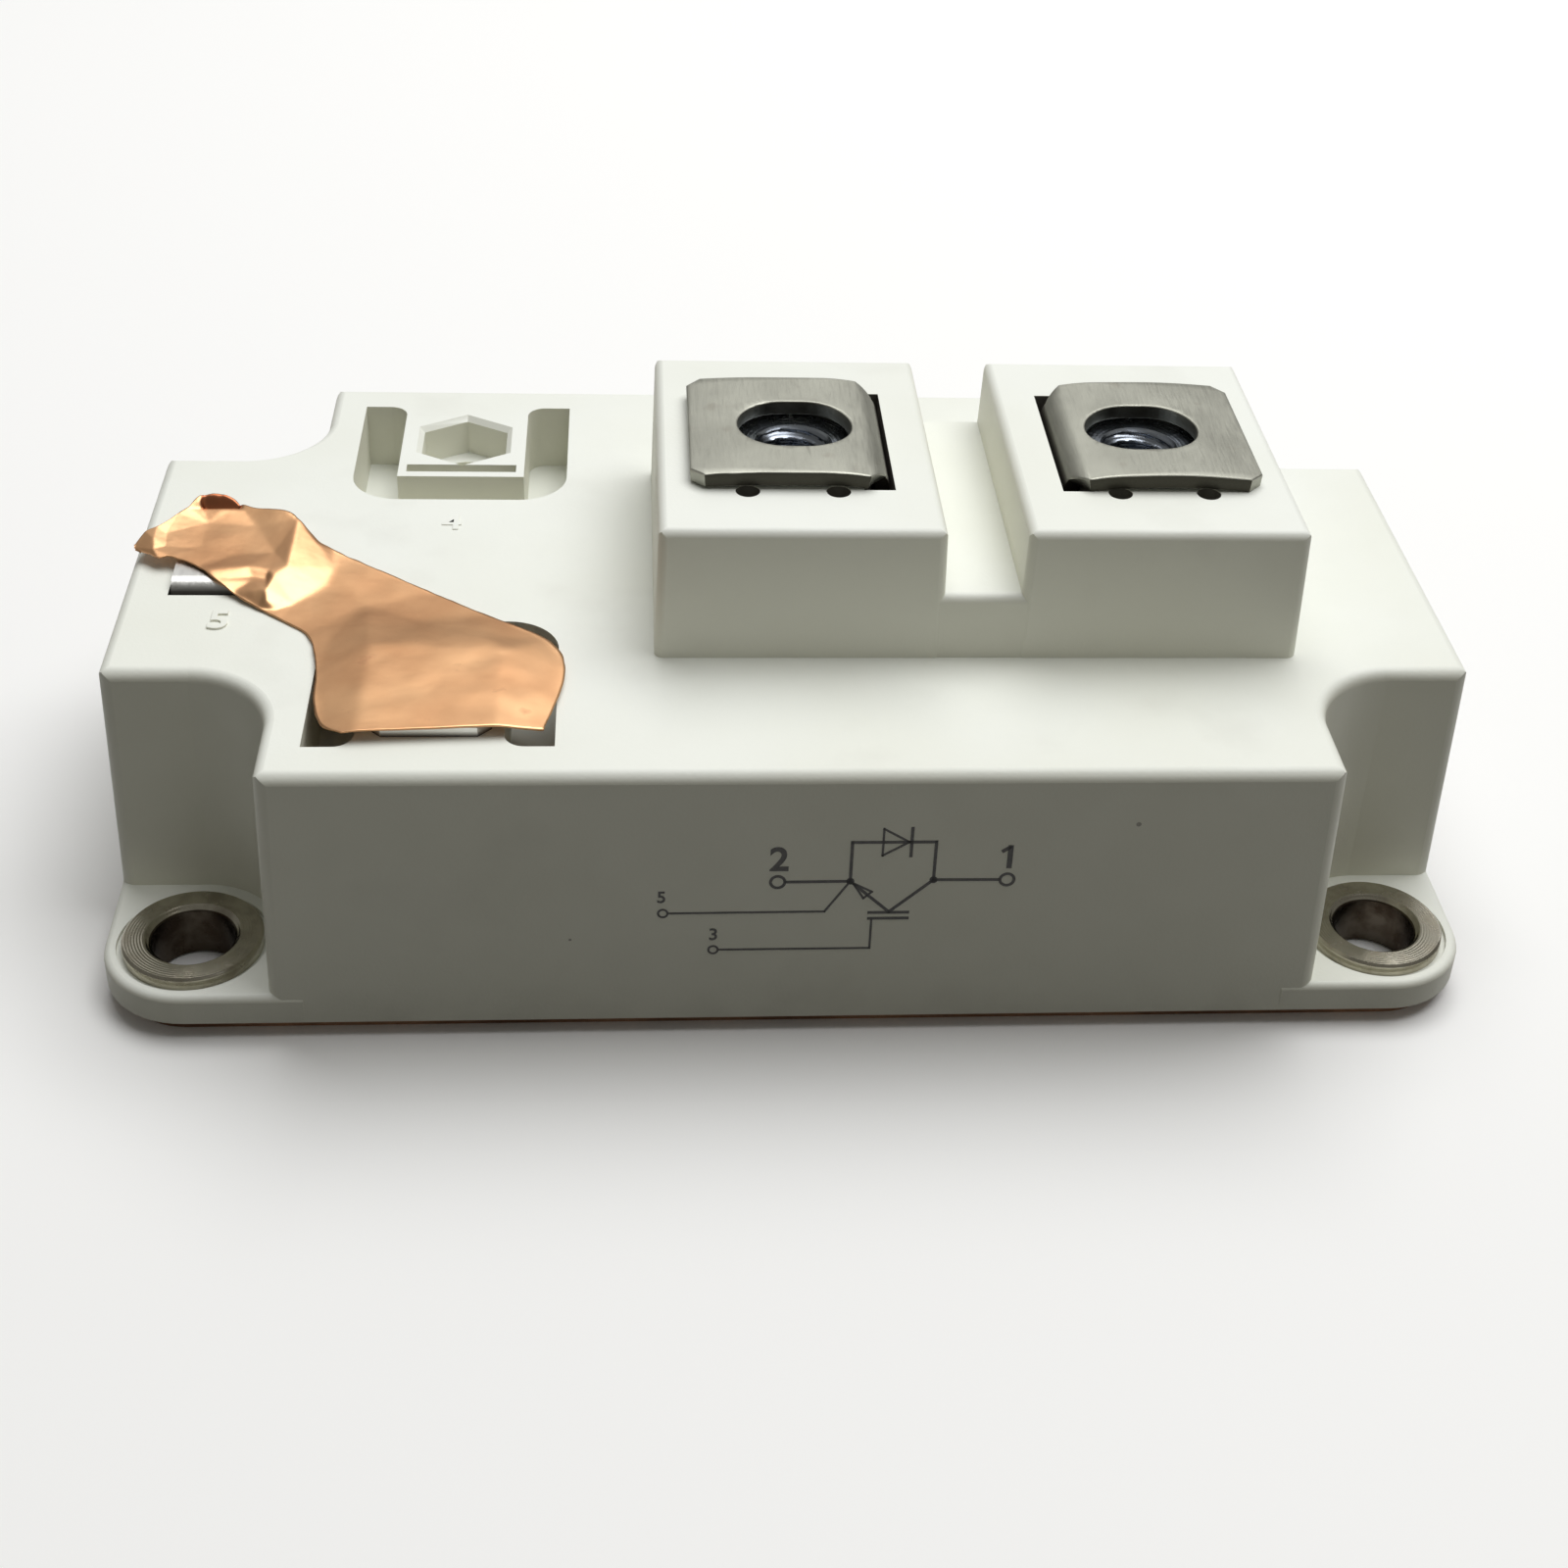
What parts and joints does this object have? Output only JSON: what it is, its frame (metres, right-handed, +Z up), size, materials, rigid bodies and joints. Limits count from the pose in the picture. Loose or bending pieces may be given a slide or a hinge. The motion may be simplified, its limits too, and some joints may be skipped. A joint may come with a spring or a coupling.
{
  "type": "igbt module",
  "caption": "Screw-terminal power transistor module: stepped white housing with two terminal towers on a flat copper base plate, control tabs shorted by copper foil.",
  "frame": {"origin": "centre of the underside of the base plate", "axes": "+X along the length, away from the control terminals; +Y across the width, to the rear; +Z up through the main terminals"},
  "size_m": [0.1064, 0.0614, 0.0365],
  "materials": {
    "housing": "fine satin moulding",
    "base_plate": "bare copper, dull",
    "bushing": "turned, nickel plated",
    "terminal": "nickel-plated copper sheet, satin",
    "nut": "zinc plated",
    "foil": "thin copper strip, creased",
    "ceramic": "ground, matte",
    "copper": "bonded copper, matte",
    "chip": "silicon with metallised top",
    "wire": "drawn wire"
  },
  "bodies": {
    "root": {"housing": "housing", "base_plate": "base_plate", "bushing_front_left": "bushing", "bushing_front_right": "bushing", "bushing_rear_left": "bushing", "bushing_rear_right": "bushing", "main_terminal_1": "terminal", "main_terminal_2": "terminal", "main_nut_1": "nut", "main_nut_2": "nut", "control_terminal_3": "terminal", "control_terminal_5": "terminal", "control_nut_3": "nut", "control_nut_5": "nut", "shorting_foil": "foil", "ceramic_left": "ceramic", "ceramic_right": "ceramic", "tile_back_left": "copper", "tile_back_right": "copper", "collector_copper_left": "copper", "collector_copper_right": "copper", "emitter_copper_left": "copper", "emitter_copper_right": "copper", "gate_copper_left": "copper", "gate_copper_right": "copper", "igbt_chip_1": "chip", "igbt_chip_2": "chip", "igbt_chip_3": "chip", "igbt_chip_4": "chip", "diode_chip_1": "chip", "diode_chip_2": "chip", "diode_chip_3": "chip", "diode_chip_4": "chip", "emitter_wires_left": "wire", "emitter_wires_right": "wire", "gate_wires_left": "wire", "gate_wires_right": "wire", "tile_links": "wire"}
  },
  "joints": []
}
